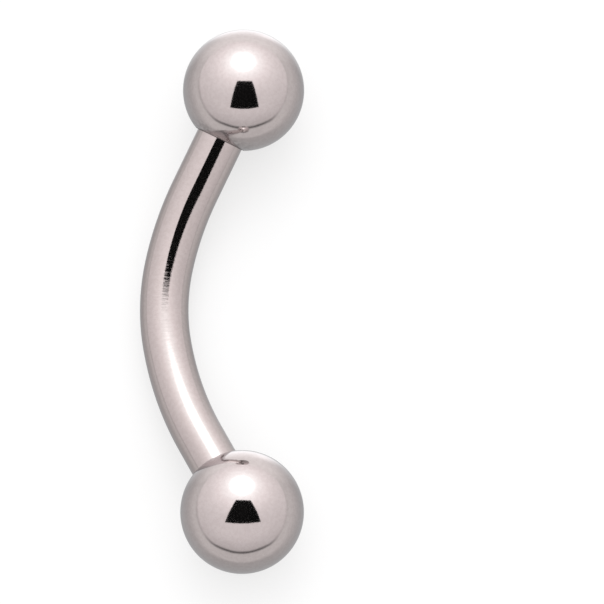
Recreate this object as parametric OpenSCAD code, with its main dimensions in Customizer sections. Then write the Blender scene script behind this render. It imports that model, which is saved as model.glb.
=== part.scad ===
// Curved eyebrow barbell: a bent bar with a ball screwed on each end.
// It lies as it rests by itself, on its two balls and on the middle of its bow.
// The line through the two balls runs along Y and the bow points to -X.

/* [Bar] */
// Diameter of the round bar
bar_d = 1.2; // [1:0.05:1.4]
// Radius of the bend at the middle of the bar, to its centreline
middle_bend_r = 4.75; // [4.4:0.05:6]
// Angle that the middle bend turns through
middle_bend_angle = 23.8; // [18:0.2:28]
// Radius of the wider bend on each side of it, to its centreline
side_bend_r = 7.35; // [6.5:0.05:9]
// Angle that the upper side bend turns through
upper_side_angle = 15.4; // [12:0.1:19]
// Angle that the lower side bend turns through
lower_side_angle = 20.4; // [16:0.1:23]
// Straight stretch from the bend to the upper shoulder
upper_leg = 1.47; // [1:0.01:3]
// Straight stretch from the bend to the lower shoulder
lower_leg = 0.95; // [0.5:0.01:3]

/* [Balls] */
// Diameter of each ball
ball_d = 3; // [2.7:0.05:3.6]
// Width of the flat ring round the mouth of a ball
flat_width = 0.04; // [0.02:0.01:0.12]
// Depth of the recess in the flat that takes the end of the bar
recess_depth = 0.08; // [0.05:0.01:0.14]
// Depth of the screw hole below the recess
hole_depth = 1.7; // [1.5:0.05:1.8]
// Angle of the drilled point at the bottom of the hole
drill_angle = 118; // [90:2:140]

/* [Thread] */
// Distance from one ridge of the thread to the next
pitch = 0.25; // [0.2:0.01:0.3]
// Height of the ridges
ridge_height = 0.15; // [0.1:0.01:0.2]
// How far the ridges lie below the surface of the bar
ridge_step = 0.04; // [0.03:0.01:0.08]
// Length of each post beyond its shoulder
post_length = 1.6; // [1.3:0.05:1.65]
// Length of the plain neck between the shoulder and the thread
neck_length = 0.12; // [0.08:0.01:0.3]
// Width of the bevel on the tip of the post
tip_bevel = 0.1; // [0.05:0.01:0.2]

/* [Fits] */
// Gap between the bar and the side of the recess
recess_gap = 0.025; // [0.015:0.005:0.05]
// Gap between the shoulder of the bar and the floor of the recess
seat_gap = 0.02; // [0.01:0.005:0.04]
// Gap between the ridges of the post and the wall of the hole
thread_gap = 0.02; // [0.015:0.005:0.05]

/* [Hidden] */
$fn = 96;

// A side bend runs this far into what it joins on each side, and is this much thinner in radius,
// so that the stretches of the bar join as one solid
lap = 0.05;
lap_step = 0.002;

// Round sizes as radii
bar_r = bar_d / 2;
ball_r = ball_d / 2;
ridge_r = bar_r - ridge_step;
root_r = ridge_r - ridge_height;
hole_r = ridge_r + thread_gap;
recess_r = bar_r + recess_gap;
flat_r = recess_r + flat_width;

// Distance from the centre of a ball to its flat, and to the shoulder of the bar
centre_to_flat = sqrt(ball_r ^ 2 - flat_r ^ 2);
centre_to_shoulder = centre_to_flat - recess_depth + seat_gap;

// The bend as seen flat: the middle of the bar at the origin, running along Y, with its bow to -X.
// A turn is how far a leg leans from Y. The lower half is drawn flipped, as an upper one.
half_middle = middle_bend_angle / 2;
upper_turn = half_middle + upper_side_angle;
lower_turn = half_middle + lower_side_angle;
middle_centre = [middle_bend_r, 0];
side_centre = middle_centre + (side_bend_r - middle_bend_r) * [cos(half_middle), -sin(half_middle)];
function leg_start(turn) = side_centre + side_bend_r * [-cos(turn), sin(turn)];
function ball_centre(turn, leg_length) =
    leg_start(turn) + (leg_length + centre_to_shoulder) * [sin(turn), cos(turn)];
upper_centre = ball_centre(upper_turn, upper_leg);
lower_flipped = ball_centre(lower_turn, lower_leg);
lower_centre = [lower_flipped.x, -lower_flipped.y];

// The line through the balls: its lean from Y, its middle, and how far the bow stands off from it
ball_line = upper_centre - lower_centre;
line_lean = atan2(ball_line.x, ball_line.y);
line_middle = (upper_centre + lower_centre) / 2;
bow = middle_bend_r - (middle_centre - line_middle) * [cos(line_lean), -sin(line_lean)];

// At rest the bow sinks until the bar meets the surface, and the box of the whole part is centred in X
rest_tilt = asin((ball_r - bar_r) / bow);
line_x = (bow * cos(rest_tilt) + bar_r - ball_r) / 2;

// Lays what is drawn in the plane of the bend down on the surface
module laid() {
    translate([line_x, 0, ball_r])
        rotate([0, -rest_tilt, 0])
            rotate([0, 0, line_lean])
                translate([-line_middle.x, -line_middle.y, 0])
                    children();
}

// Stands what is drawn along Z on the start of a leg, pointing out along it
module on_leg(turn) {
    translate([leg_start(turn).x, leg_start(turn).y, 0])
        rotate([0, 0, -turn])
            rotate([-90, 0, 0])
                children();
}

// A stretch of round bar bent from one lean to another about a centre
module bend(centre, bend_r, thick_r, from, to) {
    translate([centre.x, centre.y, 0])
        rotate([0, 0, 180 - to])
            rotate_extrude(angle = to - from)
                translate([bend_r, 0])
                    circle(r = thick_r);
}

// A straight leg with its shoulder and the threaded post, drawn up Z as half of its outline
module leg(length) {
    thread_start = length + neck_length;
    thread_end = length + post_length - tip_bevel;
    ridges = floor((thread_end - thread_start) / pitch);
    ridge_edge = pitch / 16;
    ridge_foot = pitch * 3 / 8;
    rotate_extrude()
        polygon(concat(
            [[0, 0], [bar_r, 0], [bar_r, length], [root_r, length]],
            [for (i = [0 : ridges - 1], s = [-1, 1])
                let (z = thread_start + pitch * (i + 0.5))
                each s < 0 ?
                    [[root_r, z - ridge_foot], [ridge_r, z - ridge_edge]] :
                    [[ridge_r, z + ridge_edge], [root_r, z + ridge_foot]]],
            [[root_r, length + post_length - tip_bevel],
             [root_r - tip_bevel, length + post_length],
             [0, length + post_length]]));
}

// A side bend out to the given turn, with a leg of the given length beyond it
module half_bar(turn, leg_length) {
    lap_turn = lap / side_bend_r * 180 / PI;
    bend(side_centre, side_bend_r, bar_r - lap_step, half_middle - lap_turn, turn + lap_turn);
    on_leg(turn) leg(leg_length);
}

// A ball with its flat, recess and screw hole, on a leg of the given turn and length
module ball_on(turn, leg_length) {
    on_leg(turn) translate([0, 0, leg_length + centre_to_shoulder])
        difference() {
            sphere(d = ball_d);
            translate([0, 0, -centre_to_flat - ball_d])
                cylinder(h = ball_d, r = ball_r);
            translate([0, 0, -centre_to_flat - recess_depth])
                cylinder(h = recess_depth * 2, r = recess_r);
            translate([0, 0, -centre_to_flat])
                cylinder(h = recess_depth + hole_depth, r = hole_r);
            translate([0, 0, -centre_to_flat + recess_depth + hole_depth])
                cylinder(h = hole_r / tan(drill_angle / 2), r1 = hole_r, r2 = 0);
        }
}

module bar() {
    color("silver") laid() {
        bend(middle_centre, middle_bend_r, bar_r, -half_middle, half_middle);
        half_bar(upper_turn, upper_leg);
        mirror([0, 1, 0]) half_bar(lower_turn, lower_leg);
    }
}

module upper_ball() {
    color("gainsboro") laid() ball_on(upper_turn, upper_leg);
}

module lower_ball() {
    color("gainsboro") laid() mirror([0, 1, 0]) ball_on(lower_turn, lower_leg);
}

bar();
upper_ball();
lower_ball();
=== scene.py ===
import math

import bmesh
import bpy
import numpy as np
from mathutils import Matrix, Vector


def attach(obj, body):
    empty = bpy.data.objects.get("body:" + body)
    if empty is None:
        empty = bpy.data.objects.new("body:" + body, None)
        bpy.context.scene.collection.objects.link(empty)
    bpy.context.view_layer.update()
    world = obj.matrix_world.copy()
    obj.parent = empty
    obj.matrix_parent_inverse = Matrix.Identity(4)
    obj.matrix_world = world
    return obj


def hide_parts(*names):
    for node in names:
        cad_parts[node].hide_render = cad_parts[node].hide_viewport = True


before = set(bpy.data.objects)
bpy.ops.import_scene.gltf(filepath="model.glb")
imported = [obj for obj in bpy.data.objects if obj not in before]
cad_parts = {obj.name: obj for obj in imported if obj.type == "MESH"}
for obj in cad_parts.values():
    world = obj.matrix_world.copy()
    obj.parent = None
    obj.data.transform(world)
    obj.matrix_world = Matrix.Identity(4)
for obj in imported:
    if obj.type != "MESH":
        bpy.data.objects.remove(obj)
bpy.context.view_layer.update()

MM = 0.001

# The barbell's sizes, as in the solids
BAR_R = 0.6 * MM
BALL_R = 1.5 * MM
MIDDLE_BEND_R = 4.75 * MM
HALF_MIDDLE = math.radians(11.9)
SIDE_BEND_R = 7.35 * MM
UPPER_TURN = HALF_MIDDLE + math.radians(15.4)
LOWER_TURN = HALF_MIDDLE + math.radians(20.4)
UPPER_LEG = 1.47 * MM
LOWER_LEG = 0.95 * MM
FLAT_WIDTH = 0.04 * MM
RECESS_DEPTH = 0.08 * MM
HOLE_DEPTH = 1.7 * MM
DRILL_HALF_ANGLE = math.radians(59)
RECESS_GAP = 0.025 * MM
SEAT_GAP = 0.02 * MM
PITCH = 0.25 * MM
RIDGE_R = 0.56 * MM
ROOT_R = 0.41 * MM
HOLE_R = 0.58 * MM
POST_LENGTH = 1.6 * MM
NECK_LENGTH = 0.12 * MM
TIP_BEVEL = 0.1 * MM

# Half the width of the thread's ridge at its foot and at its crest, as shares of the pitch
RIDGE_FOOT = 3 / 8
RIDGE_CREST = 1 / 16
# Where the thread of a post starts and ends beyond the shoulder, and over what length it rises and falls
THREAD_START = NECK_LENGTH * 0.5
THREAD_END = POST_LENGTH - TIP_BEVEL * 0.8
THREAD_RISE = PITCH * 0.5
# The screw thread inside a ball, which the solids leave out: its crests, its gap to the post's thread,
# the plain stretches at the mouth and at the bottom of the hole, and over what length it rises and falls
INNER_CREST_R = 0.475 * MM
THREAD_PLAY = 0.015 * MM
PLAIN_MOUTH = 0.05 * MM
PLAIN_BOTTOM = PITCH
INNER_RISE = PITCH * 0.4

# How finely the round forms are divided, and from which angle on an edge stays sharp
AROUND = 160
BALL_ROWS = 120
BAR_STEP = 0.05 * MM
ROWS_PER_PITCH = 18
SHARP_ANGLE = math.radians(35)
SHARES_ROUND = np.arange(AROUND) / AROUND

# The fine rounding of each edge that polishing leaves: how far each of its points lies from one side
# of the corner and from the other
EDGE_ROUND = 0.008 * MM
EDGE_ANGLES = [math.radians(a) for a in (0, 30, 60, 90)]
EDGE_POINTS = [(EDGE_ROUND * (1 - math.sin(a)), EDGE_ROUND * (1 - math.cos(a))) for a in EDGE_ANGLES]

RECESS_R = BAR_R + RECESS_GAP
FLAT_R = RECESS_R + FLAT_WIDTH
CENTRE_TO_FLAT = math.sqrt(BALL_R ** 2 - FLAT_R ** 2)
CENTRE_TO_SHOULDER = CENTRE_TO_FLAT - RECESS_DEPTH + SEAT_GAP
# The angle from a ball's far pole to the edge of its flat
FLAT_ANGLE = math.pi - math.asin(FLAT_R / BALL_R)

# Each end of the bar: 1 is the upper one, along +Y, and -1 the lower one
ENDS = {"upper_ball": 1, "lower_ball": -1}
TURNS = {1: UPPER_TURN, -1: LOWER_TURN}
LEGS = {1: UPPER_LEG, -1: LOWER_LEG}

MIDDLE_CENTRE = Vector((MIDDLE_BEND_R, 0, 0))
SIDE_CENTRE = MIDDLE_CENTRE + (SIDE_BEND_R - MIDDLE_BEND_R) * Vector(
    (math.cos(HALF_MIDDLE), -math.sin(HALF_MIDDLE), 0)
)


def bend_point(lean, side):
    """The point of the bend's centreline where the bar leans by that angle, in the plane of the bend."""
    in_middle = lean <= HALF_MIDDLE
    centre = MIDDLE_CENTRE if in_middle else SIDE_CENTRE
    radius = MIDDLE_BEND_R if in_middle else SIDE_BEND_R
    point = centre + radius * Vector((-math.cos(lean), math.sin(lean), 0))
    point.y *= side
    return point


def leg_way(side):
    """The direction in which a leg points, away from the bend."""
    return Vector((math.sin(TURNS[side]), side * math.cos(TURNS[side]), 0))


def ball_centre(side):
    """The centre of a ball, in the plane of the bend."""
    reach = LEGS[side] + CENTRE_TO_SHOULDER
    return bend_point(TURNS[side], side) + reach * leg_way(side)


def laid_down():
    """The move that lays the plane of the bend down on the surface, as the barbell rests by itself."""
    upper, lower = ball_centre(1), ball_centre(-1)
    line, middle = upper - lower, (upper + lower) / 2
    lean = math.atan2(line.x, line.y)
    off_line = Vector((math.cos(lean), -math.sin(lean), 0))
    bow = MIDDLE_BEND_R - (MIDDLE_CENTRE - middle).dot(off_line)
    tilt = math.asin((BALL_R - BAR_R) / bow)
    line_x = (bow * math.cos(tilt) + BAR_R - BALL_R) / 2
    return (
        Matrix.Translation((line_x, 0, BALL_R))
        @ Matrix.Rotation(-tilt, 4, "Y")
        @ Matrix.Rotation(lean, 4, "Z")
        @ Matrix.Translation(-middle)
    )


TO_REST = laid_down()


def ring(centre, lean, radii):
    """A ring of points round the bar, at a point where it leans by that angle.

    radii is one radius for all of them, or one for each."""
    turn = SHARES_ROUND * 2 * math.pi
    across = np.array((math.cos(lean), -math.sin(lean), 0))
    down = np.array((0, 0, -1))
    radii = np.broadcast_to(radii, (AROUND,))
    return (
        np.array(centre)
        + (radii * np.cos(turn))[:, None] * across
        + (radii * np.sin(turn))[:, None] * down
    )


def thread_height(along, turns):
    """How far up from its root the thread stands, 0 to 1, so far along a post and so many turns round it."""
    phase = (along / PITCH - turns) % 1
    from_crest = np.abs(phase - 0.5)
    return np.clip((RIDGE_FOOT - from_crest) / (RIDGE_FOOT - RIDGE_CREST), 0, 1)


def run_out(along, start, end, length):
    """Fades the thread in after start and out before end."""
    return np.clip(min(along - start, end - along) / length, 0, 1)


def post_rows(handed):
    """Distances beyond the shoulder and radii round the post there, from the shoulder to the tip.

    handed is 1 or -1, as the rings of that end run round, and makes its thread a right-handed one."""
    rows = [(0.0, ROOT_R + EDGE_ROUND), (EDGE_ROUND, ROOT_R)]
    count = int((THREAD_END - THREAD_START) / PITCH * ROWS_PER_PITCH)
    for along in np.linspace(THREAD_START, THREAD_END, count):
        height = thread_height(along, SHARES_ROUND * handed)
        height = height * run_out(along, THREAD_START, THREAD_END, THREAD_RISE)
        rows.append((along, ROOT_R + (RIDGE_R - ROOT_R) * height))
    rows.append((POST_LENGTH - TIP_BEVEL, ROOT_R))
    rows.append((POST_LENGTH, ROOT_R - TIP_BEVEL))
    return rows


def skin(name, rings, along, first_point, last_point):
    """A closed mesh over a row of rings, with a point at each end.

    Its UV map holds the share of a turn and the distance along, in mm."""
    last_row = len(rings) - 1
    first = len(rings) * AROUND
    last = first + 1
    top = last_row * AROUND
    faces = []
    corners = []
    for row in range(last_row):
        here, above = row * AROUND, (row + 1) * AROUND
        for k in range(AROUND):
            n = (k + 1) % AROUND
            faces.append((here + k, here + n, above + n, above + k))
            corners += [(k, row), (k + 1, row), (k + 1, row + 1), (k, row + 1)]
    for k in range(AROUND):
        n = (k + 1) % AROUND
        faces.append((first, n, k))
        corners += [(k + 0.5, 0), (k + 1, 0), (k, 0)]
        faces.append((last, top + k, top + n))
        corners += [(k + 0.5, last_row), (k, last_row), (k + 1, last_row)]

    mesh = bpy.data.meshes.new(name)
    points = np.vstack([*rings, [first_point], [last_point]])
    mesh.from_pydata([tuple(p) for p in points], [], faces)
    uv = np.array([(k / AROUND, along[row] / MM) for k, row in corners], np.float32)
    mesh.uv_layers.new(name="UVMap").data.foreach_set("uv", uv.ravel())
    mesh.transform(TO_REST)
    mesh.update()
    bm = bmesh.new()
    bm.from_mesh(mesh)
    bmesh.ops.recalc_face_normals(bm, faces=bm.faces)
    bm.to_mesh(mesh)
    bm.free()
    mesh.shade_smooth()
    mesh.set_sharp_from_angle(angle=SHARP_ANGLE)
    piece = bpy.data.objects.new(name, mesh)
    bpy.context.scene.collection.objects.link(piece)
    return piece


def bar_half(side):
    """Rings from the middle of the bar to one tip, each after its distance along the bar, and the tip."""
    rows = []
    distance = 0.0
    turn, leg = TURNS[side], LEGS[side]
    for start, end, radius in ((0.0, HALF_MIDDLE, MIDDLE_BEND_R), (HALF_MIDDLE, turn, SIDE_BEND_R)):
        steps = math.ceil((end - start) * radius / BAR_STEP)
        for k in range(steps):
            lean = start + (end - start) * k / steps
            along = distance + (lean - start) * radius
            rows.append((along, ring(bend_point(lean, side), side * lean, BAR_R)))
        distance += (end - start) * radius

    foot, way = bend_point(turn, side), leg_way(side)
    leg_rows = [(k * BAR_STEP, BAR_R) for k in range(math.ceil(leg / BAR_STEP))]
    leg_rows += [(leg - off_end, BAR_R - off_side) for off_end, off_side in EDGE_POINTS]
    leg_rows += [(leg + along, radii) for along, radii in post_rows(side)]
    for along, radii in leg_rows:
        rows.append((distance + along, ring(foot + way * along, side * turn, radii)))
    return rows, foot + way * (leg + POST_LENGTH)


def make_bar():
    """The bent bar with a threaded post at each end, as one closed mesh."""
    upper_rows, upper_tip = bar_half(1)
    lower_rows, lower_tip = bar_half(-1)
    rows = [(-along, points) for along, points in reversed(lower_rows[1:])] + upper_rows
    along, rings = zip(*rows)
    return skin("bent_bar", rings, along, lower_tip, upper_tip)


def ball_outline():
    """Half of a ball's outline, from its far pole round to the bottom of its hole, and that bottom.

    Each row is a distance out along the leg from the ball's centre, and the radii there."""
    flat = -CENTRE_TO_FLAT
    seat = flat + RECESS_DEPTH
    bottom = seat + HOLE_DEPTH
    angles = [FLAT_ANGLE * k / BALL_ROWS for k in range(1, BALL_ROWS)]
    rows = [(BALL_R * math.cos(a), BALL_R * math.sin(a)) for a in angles]
    rows += [(flat + off_end, FLAT_R - off_side) for off_end, off_side in EDGE_POINTS]
    rows += [(flat + off_end, RECESS_R + off_side) for off_side, off_end in EDGE_POINTS]
    rows += [(seat, RECESS_R), (seat, HOLE_R)]
    for z in np.linspace(seat + EDGE_ROUND, bottom, int(HOLE_DEPTH / PITCH * ROWS_PER_PITCH)):
        post = ROOT_R + (RIDGE_R - ROOT_R) * thread_height(z + CENTRE_TO_SHOULDER, SHARES_ROUND)
        wall = np.clip(post + THREAD_PLAY, INNER_CREST_R, HOLE_R)
        fade = run_out(z, seat + PLAIN_MOUTH, bottom - PLAIN_BOTTOM, INNER_RISE)
        rows.append((z, HOLE_R + (wall - HOLE_R) * fade))
    cone = HOLE_R / math.tan(DRILL_HALF_ANGLE)
    rows.append((bottom + cone / 2, HOLE_R / 2))
    return rows, bottom + cone


def make_ball(name, side):
    """One ball in its place on a post, with its axis along the leg."""
    centre, way = ball_centre(side), leg_way(side)
    across = Vector((math.cos(TURNS[side]), -side * math.sin(TURNS[side]), 0))
    third = way.cross(across)
    turn = SHARES_ROUND[:, None] * 2 * math.pi
    spokes = np.cos(turn) * np.array(across) + np.sin(turn) * np.array(third)
    outline, bottom = ball_outline()
    rings, along = [], []
    length = 0.0
    before = (BALL_R, 0.0)
    for z, radii in outline:
        radii = np.broadcast_to(radii, (AROUND,))
        rings.append(np.array(centre + way * z) + radii[:, None] * spokes)
        here = (z, float(radii.mean()))
        length += math.dist(here, before)
        before = here
        along.append(length)
    return skin(name, rings, along, centre + way * BALL_R, centre + way * bottom)


class Nodes:
    """A short way to write a node tree."""

    def __init__(self, tree):
        self.tree = tree
        tree.nodes.clear()

    def add(self, kind, inputs=(), **settings):
        """A node with these settings, each input linked to a socket or set to a value."""
        node = self.tree.nodes.new(kind)
        for name, value in settings.items():
            setattr(node, name, value)
        for name, value in dict(inputs).items():
            if isinstance(value, bpy.types.NodeSocket):
                self.tree.links.new(value, node.inputs[name])
            else:
                node.inputs[name].default_value = value
        return node

    def math(self, operation, a, b=0.0, c=0.0):
        """The outcome of one operation on numbers."""
        return self.add("ShaderNodeMath", {0: a, 1: b, 2: c}, operation=operation).outputs[0]

    def product(self, first, *others):
        """All the numbers multiplied."""
        for other in others:
            first = self.math("MULTIPLY", first, other)
        return first

    def total(self, first, *others):
        """All the numbers added up."""
        for other in others:
            first = self.math("ADD", first, other)
        return first

    def ramp(self, value, low, high, at_low=0.0, at_high=1.0, smooth=False):
        """A number that goes from at_low to at_high while the value goes from low to high."""
        kind = "SMOOTHSTEP" if smooth else "LINEAR"
        inputs = {"Value": value, "From Min": low, "From Max": high, "To Min": at_low, "To Max": at_high}
        return self.add("ShaderNodeMapRange", inputs, interpolation_type=kind).outputs[0]

    def mix(self, share, a, b, kind="RGBA"):
        """What lies between a and b at that share: two colours, or two numbers where kind is FLOAT."""
        inputs = {"Factor": share, "A": a, "B": b}
        return self.add("ShaderNodeMix", inputs, data_type=kind).outputs["Result"]

    def noise(self, place, scale, detail):
        """Cloudy noise about 0.5."""
        inputs = {"Vector": place, "Scale": scale, "Detail": detail}
        return self.add("ShaderNodeTexNoise", inputs).outputs["Fac"]

    def parts(self, vector):
        """The three parts of a vector."""
        return self.add("ShaderNodeSeparateXYZ", {"Vector": vector}).outputs

    def bump(self, shader, height, distance):
        """Lets the height times the distance tilt the shader's normals."""
        node = self.add("ShaderNodeBump", {"Height": height, "Strength": 1.0, "Distance": distance})
        self.tree.links.new(node.outputs["Normal"], shader.inputs["Normal"])


# The two tones that each metal varies between, and the tint of what it mirrors at a glancing angle
BALL_TONES = ((0.596, 0.546, 0.541, 1), (0.624, 0.576, 0.571, 1))
BAR_TONES = ((0.540, 0.489, 0.480, 1), (0.564, 0.513, 0.505, 1))
EDGE_TINT = (0.93, 0.94, 0.96, 1)
# The roughness of each polish, and how much it varies
BALL_ROUGHNESS = 0.075
BAR_ROUGHNESS = 0.07
ROUGHNESS_SPREAD = 0.012
# How often the wide clouds and the fine haze on the polish change, per metre, what the haze adds or takes
# at most as a share of the step between the two tones, between which values noise mostly lies, and how
# much detail it has
CLOUD_SCALE = 800.0
HAZE_SCALE = 11000.0
HAZE = 1.1
NOISE_REACH = (0.3, 0.7)
DETAIL = 3.0

# Where no buffing wheel reaches, in the recesses and round the seam, the finish is rougher, and its colour
# is painted much darker as shade in the joint between ball and bar
TURNED_AND_SHADE_TONE = (0.20, 0.18, 0.175, 1)
TURNED_ROUGHNESS = 0.32
# It begins this far before the flat of a ball, and it ends this far beyond the recess, from and to, in mm
FLAT_FADE = (0.018, 0.006)
HOLE_FADE = (0.03, 0.0)
# On the bar it begins this far inside the recess, and it ends this far beyond the shoulder
RECESS_FADE = (0.0, 0.02)
SHOULDER_FADE = (0.05, 0.0)
# Close to the mouth of a ball its polish is dull in patches, and the patches are painted darker as shade
# near the joint: from and to that far from the mouth, in mm, how often the patches change per metre, between
# which values of the noise, and how dull and dark they are
DULL_AND_SHADE_REACH = (0.50, 0.08)
DULL_AND_SHADE_SCALE = 9000.0
DULL_AND_SHADE_PATCHES = (0.35, 0.65)
DULL_AND_SHADE = 0.45


def metal(name, tones, roughness, finish_and_shade):
    """Titanium with its tone and gloss varied a little, ready for a bump.

    The function given takes the nodes, the place and the distance along the piece, in mm, and gives how far
    from the polish the surface is, 0 to 1; there the surface is rougher and its colour is painted dark as
    shade in the joint. Given back are the material, its nodes, the place, the turn round the piece, the
    distance along it and the shader."""
    material = bpy.data.materials.new(name)
    material.use_nodes = True
    n = Nodes(material.node_tree)
    place = n.add("ShaderNodeTexCoord").outputs["Object"]
    share_round, along, _ = n.parts(n.add("ShaderNodeUVMap", uv_map="UVMap").outputs["UV"])
    turn = n.product(share_round, 2 * math.pi)
    cloud = n.noise(place, CLOUD_SCALE, DETAIL)
    haze = n.ramp(n.noise(place, HAZE_SCALE, DETAIL), *NOISE_REACH, -HAZE, HAZE)
    tone = n.mix(n.total(cloud, haze), *tones)
    rough = n.ramp(cloud, *NOISE_REACH, roughness - ROUGHNESS_SPREAD, roughness + ROUGHNESS_SPREAD)
    here = finish_and_shade(n, place, along)
    inputs = {
        # Painted shade: the colour goes towards the dark tone in the joint, its recesses and the dull
        # patches
        "Base Color": n.mix(here, tone, TURNED_AND_SHADE_TONE),
        "Metallic": 1.0,
        "Roughness": n.math("MULTIPLY_ADD", here, TURNED_ROUGHNESS - roughness, rough),
        "Specular Tint": EDGE_TINT,
    }
    shader = n.add("ShaderNodeBsdfPrincipled", inputs)
    n.add("ShaderNodeOutputMaterial", {"Surface": shader.outputs["BSDF"]})
    return material, n, place, turn, along, shader


def ball_finish_and_shade(n, place, along):
    """The flat and the recess round the mouth of a ball and the seam just before them, rougher and painted
    dark as shade in the joint, and the dull patches close to it, painted darker as shade near the joint.
    """
    start = BALL_R * FLAT_ANGLE / MM
    end = start + (FLAT_WIDTH + RECESS_DEPTH + RECESS_GAP) / MM
    begins = n.ramp(along, start - FLAT_FADE[0], start - FLAT_FADE[1])
    ends = n.ramp(along, end + HOLE_FADE[0], end + HOLE_FADE[1])
    # Painted shade near the joint, in dull patches
    near = n.ramp(along, start - DULL_AND_SHADE_REACH[0], start - DULL_AND_SHADE_REACH[1], 0.0, DULL_AND_SHADE, smooth=True)
    patches = n.ramp(n.noise(place, DULL_AND_SHADE_SCALE, DETAIL), *DULL_AND_SHADE_PATCHES)
    return n.math("MAXIMUM", n.product(begins, ends), n.product(near, patches))


def bar_finish_and_shade(n, _, along):
    """The two ends of the bar that sit in the recesses, rougher and painted dark as shade in the joint."""
    shares = []
    for side in (1, -1):
        bends = MIDDLE_BEND_R * HALF_MIDDLE + SIDE_BEND_R * (TURNS[side] - HALF_MIDDLE)
        shoulder = (bends + LEGS[side]) / MM
        recess = shoulder - RECESS_DEPTH / MM
        outward = n.product(along, side)
        begins = n.ramp(outward, recess + RECESS_FADE[0], recess + RECESS_FADE[1])
        ends = n.ramp(outward, shoulder + SHOULDER_FADE[0], shoulder + SHOULDER_FADE[1])
        shares.append(n.product(begins, ends))
    return n.math("MAXIMUM", *shares)


# The buffing marks on a ball: how often the fine and the wide ones change per metre, how many times as
# deep the wide ones are, how much detail both have, and the depth of the fine ones
BALL_FINE_SCALE = 30000.0
BALL_WIDE_SCALE = 7000.0
BALL_WIDE_DEPTH = 12.0
BALL_MARK_DETAIL = 2.0
BALL_MARK_DEPTH = 0.00005 * MM


def ball_material():
    """Mirror polish with a trace of fine, directionless buffing marks."""
    material, n, place, _, _, shader = metal("polished_ball", BALL_TONES, BALL_ROUGHNESS, ball_finish_and_shade)
    fine = n.noise(place, BALL_FINE_SCALE, BALL_MARK_DETAIL)
    wide = n.noise(place, BALL_WIDE_SCALE, BALL_MARK_DETAIL)
    n.bump(shader, n.math("MULTIPLY_ADD", wide, BALL_WIDE_DEPTH, fine), BALL_MARK_DEPTH)
    return material


# The fine and the wide marks round the bar: how often they change along it, per mm, and round it,
# per radian, how much detail they have, and their depth
MARKS = ((100.0, 2.5, 1.0, 0.0008 * MM), (17.0, 1.8, 2.0, 0.0015 * MM))
# The marks are deepest at the middle of the bow: up to and from which distance along the bar, in mm,
# and their share of that depth there and beyond
WEAR_REACH = (0.4, 2.2)
WEAR = (1.15, 0.5)


def bar_material():
    """Polish with fine marks that run round the bar, as a buffing belt leaves them."""
    material, n, _, turn, along, shader = metal("polished_bar", BAR_TONES, BAR_ROUGHNESS, bar_finish_and_shade)
    cosine, sine = n.math("COSINE", turn), n.math("SINE", turn)
    heights = []
    for along_scale, round_scale, detail, depth in MARKS:
        x, y = n.product(cosine, round_scale), n.product(sine, round_scale)
        z = n.product(along, along_scale)
        where = n.add("ShaderNodeCombineXYZ", {"X": x, "Y": y, "Z": z}).outputs[0]
        heights.append(n.product(n.noise(where, 1.0, detail), depth))
    wear = n.ramp(n.math("ABSOLUTE", along), *WEAR_REACH, *WEAR, smooth=True)
    n.bump(shader, n.product(n.total(*heights), wear), 1.0)
    return material


# The photograph's view: straight down but for the upper end, which leans away, and a trace of roll
VIEW_DISTANCE = 105 * MM
UPPER_END_AWAY = math.radians(12)
ROLL = -0.0006
# The picture: its pixels each way, its scale, and where in it the middle between the balls lies
PICTURE = 604
PIXELS_PER_M = 40.8 / MM
BALL_LINE_MIDDLE_X = 242.85
BALL_LINE_MIDDLE_Y = 299.0
# The camera's sensor, in mm, and how near and how far it sees
SENSOR = 36
NEAREST = 1 * MM
FARTHEST = 10.0


def view_axes():
    """The picture's right, up and towards-the-camera directions in the part's frame."""
    right = Vector((1, 0, 0))
    up = Vector((0, math.cos(UPPER_END_AWAY), math.sin(UPPER_END_AWAY)))
    back = right.cross(up)
    turned_right = right * math.cos(ROLL) - up * math.sin(ROLL)
    turned_up = right * math.sin(ROLL) + up * math.cos(ROLL)
    return turned_right, turned_up, back


RIGHT, UP, BACK = view_axes()
BALL_LINE_MIDDLE = TO_REST @ ((ball_centre(1) + ball_centre(-1)) / 2)


def make_camera():
    """A camera that sees the part as large, from where and in the place that the photograph shows it."""
    data = bpy.data.cameras.new("camera")
    data.sensor_width = SENSOR
    data.lens = SENSOR * PIXELS_PER_M * VIEW_DISTANCE / PICTURE
    data.clip_start = NEAREST
    data.clip_end = FARTHEST
    camera = bpy.data.objects.new("camera", data)
    aside = (PICTURE / 2 - BALL_LINE_MIDDLE_X) / PIXELS_PER_M
    below = (PICTURE / 2 - BALL_LINE_MIDDLE_Y) / PIXELS_PER_M
    place = BALL_LINE_MIDDLE + BACK * VIEW_DISTANCE + RIGHT * aside - UP * below
    turn = Matrix((RIGHT, UP, BACK)).transposed().to_4x4()
    camera.matrix_world = Matrix.Translation(place) @ turn
    bpy.context.scene.collection.objects.link(camera)
    bpy.context.scene.camera = camera


FLOOR_HALF = 400 * MM
FLOOR_TONE = 0.36
FLOOR_GLOW = 0.60
# The dark front opening of the tent, its lower and upper edge as seen from the lower ball, in mm:
# distance aside, up the picture and towards the camera, and half the edge's length
OPENING = ((1.25, -6.3, 19.8, 13.1), (3.1, 25.8, 56.0, 14.8))
OPENING_TONE = 0.0
OPENING_GLOW = 0.005


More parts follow.
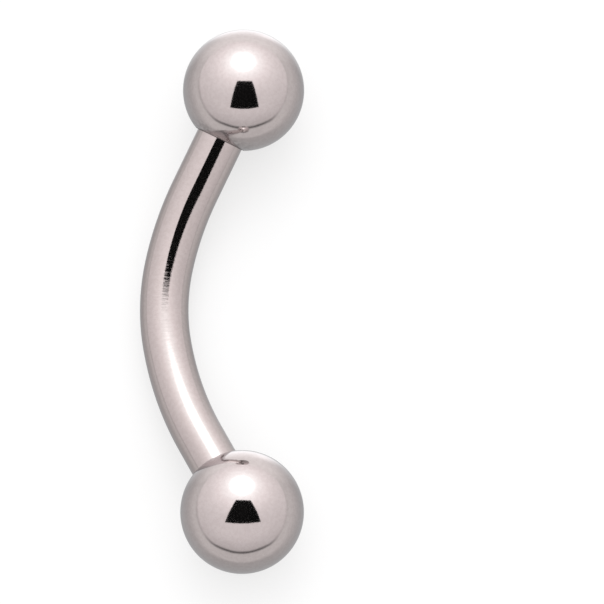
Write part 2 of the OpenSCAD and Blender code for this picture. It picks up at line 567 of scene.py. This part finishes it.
def plain_sheet(name, corners, material, tone, glow):
    """A flat sheet of one matt grey tone, which glows a little of itself."""
    mesh = bpy.data.meshes.new(name)
    mesh.from_pydata(corners, [], [(0, 1, 2, 3)])
    sheet = bpy.data.objects.new(name, mesh)
    bpy.context.scene.collection.objects.link(sheet)
    matt = bpy.data.materials.new(material)
    matt.use_nodes = True
    shader = matt.node_tree.nodes["Principled BSDF"]
    shader.inputs["Base Color"].default_value = (tone, tone, tone, 1)
    shader.inputs["Roughness"].default_value = 1.0
    shader.inputs["Specular IOR Level"].default_value = 0.0
    shader.inputs["Emission Color"].default_value = (1, 1, 1, 1)
    shader.inputs["Emission Strength"].default_value = glow
    mesh.materials.append(matt)
    return sheet


def make_floor():
    """A plain pale floor. The polished metal mirrors the tent's own dimmer table in its place."""
    h = FLOOR_HALF
    corners = [(-h, -h, 0), (h, -h, 0), (h, h, 0), (-h, h, 0)]
    floor = plain_sheet("floor", corners, "pale_floor", FLOOR_TONE, FLOOR_GLOW)
    floor.visible_glossy = False


def make_opening():
    """The dark opening that the polished metal mirrors, seen only in reflections."""
    seen_from = TO_REST @ ball_centre(-1)
    edges = []
    for aside, up, back, half in OPENING:
        middle = seen_from + (RIGHT * aside + UP * up + BACK * back) * MM
        edges.append((tuple(middle - RIGHT * half * MM), tuple(middle + RIGHT * half * MM)))
    lower, upper = edges
    corners = [*lower, *reversed(upper)]
    card = plain_sheet("tent_opening", corners, "dark_opening", OPENING_TONE, OPENING_GLOW)
    card.visible_camera = False
    card.visible_diffuse = False
    card.visible_shadow = False


# The tent is brightness by direction. z is how high a direction points and x how far towards +X, -1 to 1.
# forward is how squarely it points towards +Y and away how squarely towards -Y, -1 to 1 at any height.
# level is how far it leaves the vertical and depth how far it points below the table's edge, 0 to 1.
# Of the numbers in brackets, the first two say where a change starts and ends, and the next two what it
# gives there.

# The broad light: its angle from straight up, towards +Y, the angles from it at which its bright core
# starts and is full, what the core adds, and how far and how brightly it glows, with the fall as a power
LIGHT_FROM_TOP = math.radians(42)
CORE = (math.radians(25), math.radians(5))
CORE_EXTRA = 1.4
GLOW_REACH = math.radians(85)
GLOW = 1.27
GLOW_POWER = 2.0
# The wall, and how much it dims towards the table and towards -Y
WALL = 0.94
WALL_DIM = 0.26
WALL_DIM_Z = (0.65, 0.0)
WALL_DIM_AWAY = (-0.2, 0.9)
# The edge where the wall meets the table, a little below z = 0: how much by away, times a share by away,
# and over what height the one passes into the other
EDGE_DROP = (0.95, 0.7, 0.015, 0.07)
EDGE_DROP_SHARE = (0.1, 0.6, 0.5, 1.0)
EDGE_BLUR = (0.02, -0.02)
# The dark line along that edge: its half width and its depth. It is full straight away, and fades round
# the sides to a share by x, and on to none.
SEAM_HALF = 0.09
SEAM_DEPTH = 0.80
SEAM_AWAY = (0.45, 0.95)
SEAM_BESIDE = (-0.3, 0.3, 0.24, 0.13)
SEAM_BEHIND = (-0.5, 0.0)
# The table's plain tone, and what it gains near the wall: in full down to one depth, by away, and fading
# to nothing at another, by away from what x gives beside to what is given straight away
TABLE = 0.535
TABLE_NEAR_WALL = 0.20
NEAR_FULL = (0.3, 0.95, 0.12, 0.38)
NEAR_END_AWAY = (0.3, 0.7)
NEAR_END_BESIDE = (-0.3, 0.3, 0.55, 0.72)
NEAR_END_STRAIGHT = 0.52
# What it gains on the light's side, with a glare and, towards +X, a sheen, but not straight below the part
TABLE_LIT = 0.42
LIT_FORWARD = (0.52, 1.0)
TABLE_GLARE = 0.66
GLARE_FORWARD = (0.88, 1.0)
GLARE_DEPTH = (0.2, 0.8)
TABLE_SHEEN = 0.24
SHEEN_FORWARD = (0.82, 0.92)
SHEEN_DEPTH = (0.45, 0.62)
SHEEN_X = (0.08, 0.24)
LIT_LEVEL = (0.28, 0.60)
# What it gains at both sides
TABLE_SIDES = 0.04
SIDES_X = (0.3, 0.8)
# The faintly warm cast of what the metal mirrors: on the wall it fades to white close to the light,
# between these angles from it, and on the table it turns cooler between these depths
WHITE = (1, 1, 1, 1)
TENT_COLOUR = (1.0, 0.948, 0.950, 1)
WARM_REACH = (math.radians(40), math.radians(22))
TABLE_COLOUR = (0.985, 0.953, 0.945, 1)
TABLE_DEEP_COLOUR = (0.952, 0.953, 0.950, 1)
DEEP = (0.35, 0.9)
# Keeps a direction straight up or down from being divided by nothing
SMALL = 0.001


class Direction:
    """The measures of a direction that the tent's brightness depends on."""

    def __init__(self, n):
        way = n.add("ShaderNodeTexCoord").outputs["Generated"]
        self.x, y, z = n.parts(way)
        self.level = n.math("SQRT", n.total(n.product(self.x, self.x), n.product(y, y)))
        self.forward = n.math("DIVIDE", y, n.math("MAXIMUM", self.level, SMALL))
        self.away = n.product(self.forward, -1.0)
        drop = n.ramp(self.away, *EDGE_DROP, smooth=True)
        self.z = n.total(z, n.product(drop, n.ramp(self.away, *EDGE_DROP_SHARE)))
        self.depth = n.product(self.z, -1.0)
        light = Vector((0, math.sin(LIGHT_FROM_TOP), math.cos(LIGHT_FROM_TOP)))
        dot = n.add("ShaderNodeVectorMath", {0: way, 1: light}, operation="DOT_PRODUCT").outputs["Value"]
        self.from_light = n.math("ARCCOSINE", dot)


def wall_tone(n, aim):
    """The wall's brightness, with the light on it."""
    low = n.ramp(aim.z, *WALL_DIM_Z, smooth=True)
    dim = n.product(low, n.ramp(aim.away, *WALL_DIM_AWAY), WALL_DIM)
    core = n.ramp(aim.from_light, *CORE, 0.0, CORE_EXTRA, smooth=True)
    glow = n.product(n.math("POWER", n.ramp(aim.from_light, GLOW_REACH, 0.0), GLOW_POWER), GLOW)
    return n.total(n.math("SUBTRACT", WALL, dim), core, glow)


def table_tone(n, aim):
    """The table's brightness."""
    near_full = n.ramp(aim.away, *NEAR_FULL)
    near_end_beside = n.ramp(aim.x, *NEAR_END_BESIDE)
    near_end = n.ramp(aim.away, *NEAR_END_AWAY, near_end_beside, NEAR_END_STRAIGHT)
    near = n.ramp(aim.depth, near_end, near_full, 0.0, TABLE_NEAR_WALL, smooth=True)
    lit = n.ramp(aim.forward, *LIT_FORWARD, 0.0, TABLE_LIT, smooth=True)
    glare = n.ramp(aim.forward, *GLARE_FORWARD, 0.0, TABLE_GLARE, smooth=True)
    glare = n.product(glare, n.ramp(aim.depth, *GLARE_DEPTH, smooth=True))
    sheen = n.ramp(aim.forward, *SHEEN_FORWARD, 0.0, TABLE_SHEEN, smooth=True)
    sheen = n.product(sheen, n.ramp(aim.depth, *SHEEN_DEPTH, smooth=True))
    sheen = n.product(sheen, n.ramp(aim.x, *SHEEN_X, smooth=True))
    extra = n.product(n.total(lit, glare, sheen), n.ramp(aim.level, *LIT_LEVEL, smooth=True))
    sides = n.ramp(n.math("ABSOLUTE", aim.x), *SIDES_X, 0.0, TABLE_SIDES, smooth=True)
    return n.total(near, extra, sides, TABLE)


def seam_share(n, aim):
    """The share of the brightness that the dark line between wall and table takes."""
    line = n.ramp(n.math("ABSOLUTE", aim.z), SEAM_HALF, 0.0, smooth=True)
    beside = n.product(n.ramp(aim.x, *SEAM_BESIDE), n.ramp(aim.away, *SEAM_BEHIND))
    return n.product(line, n.ramp(aim.away, *SEAM_AWAY, beside, smooth=True), SEAM_DEPTH)


def make_light():
    """A white tent with one broad soft light over the +Y side.

    The metal alone mirrors its warm cast, and the camera sees plain white in its place."""
    world = bpy.data.worlds.new("tent")
    bpy.context.scene.world = world
    world.use_nodes = True
    n = Nodes(world.node_tree)
    aim = Direction(n)
    below = n.ramp(aim.z, *EDGE_BLUR)
    tone = n.mix(below, wall_tone(n, aim), table_tone(n, aim), kind="FLOAT")
    tone = n.product(tone, n.math("SUBTRACT", 1.0, seam_share(n, aim)))
    wall_cast = n.mix(n.ramp(aim.from_light, *WARM_REACH), TENT_COLOUR, WHITE)
    table_cast = n.mix(n.ramp(aim.depth, *DEEP, smooth=True), TABLE_COLOUR, TABLE_DEEP_COLOUR)
    rays = n.add("ShaderNodeLightPath").outputs
    colour = n.mix(rays["Is Glossy Ray"], WHITE, n.mix(below, wall_cast, table_cast))
    strength = n.mix(rays["Is Camera Ray"], tone, 1.0, kind="FLOAT")
    back = n.add("ShaderNodeBackground", {"Color": colour, "Strength": strength})
    n.add("ShaderNodeOutputWorld", {"Surface": back.outputs[0]})
    bpy.context.scene.view_settings.view_transform = "Standard"


make_camera()
make_floor()
make_opening()
make_light()

polished_ball = ball_material()
polished_bar = bar_material()

bar = make_bar()
bar.data.materials.append(polished_bar)
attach(bar, "bar")
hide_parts("bar")

for node, side in ENDS.items():
    ball = make_ball("polished_" + node, side)
    ball.data.materials.append(polished_ball)
    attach(ball, node)
    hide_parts(node)
